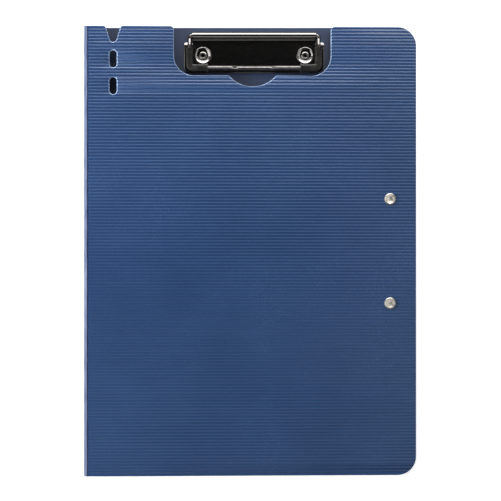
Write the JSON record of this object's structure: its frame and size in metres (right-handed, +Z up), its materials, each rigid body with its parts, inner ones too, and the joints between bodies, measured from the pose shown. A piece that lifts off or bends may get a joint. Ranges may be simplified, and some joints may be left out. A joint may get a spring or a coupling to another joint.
{
  "type": "clipboard folder",
  "caption": "Fold-over clipboard folder: ribbed cover, spine and back panel on living hinges, with a wire bail clip, pen slots and an inner pocket.",
  "frame": {"origin": "middle of the outline, on the outer face of the back panel, which it rests on", "axes": "+X from the spine to the free edge, +Y towards the clip, +Z up through the closed cover"},
  "size_m": [0.233, 0.315, 0.012],
  "materials": {
    "cover_sheet": "ribbed dark blue polypropylene, satin",
    "back_sheet": "dark blue polypropylene, ribbed outside and smooth matte inside",
    "pocket_sheet": "thin smooth dark blue polypropylene",
    "clip_steel": "gloss black enamel on pressed steel",
    "bail_wire": "bright nickel on spring wire",
    "sleeve_plastic": "black moulded plastic, fine grooves",
    "rivet_metal": "nickel on steel",
    "washer_metal": "zinc on steel"
  },
  "bodies": {
    "back": {"back_panel": "back_sheet", "clip_base_plate": "clip_steel", "clip_rivet_left": "rivet_metal", "clip_rivet_right": "rivet_metal", "clip_washer_left": "washer_metal", "clip_washer_right": "washer_metal"},
    "spine": {"spine_panel": "cover_sheet"},
    "cover": {"front_cover": "cover_sheet", "inner_pocket": "pocket_sheet", "pocket_rivet_upper": "rivet_metal", "pocket_rivet_lower": "rivet_metal", "pocket_washer_upper": "washer_metal", "pocket_washer_lower": "washer_metal"},
    "bail": {"wire_bail": "bail_wire", "corner_sleeve_left": "sleeve_plastic", "corner_sleeve_right": "sleeve_plastic"}
  },
  "joints": [
    {"name": "spine_fold", "type": "hinge", "parent": "back", "child": "spine", "pos_m": [-0.11599, 0, 0.00052], "axis": [0, -1, 0], "range_deg": [0, 178]},
    {"name": "cover_fold", "type": "hinge", "parent": "spine", "child": "cover", "pos_m": [-0.11599, 0, 0.01149], "axis": [0, -1, 0], "range_deg": [0, 178]},
    {"name": "bail_swing", "type": "hinge", "parent": "back", "child": "bail", "pos_m": [0.0025, 0.15162, 0.00478], "axis": [-1, 0, 0], "range_deg": [0, 110], "stiffness_Nm_per_rad": 0.02, "springref_deg": -28.65}
  ]
}
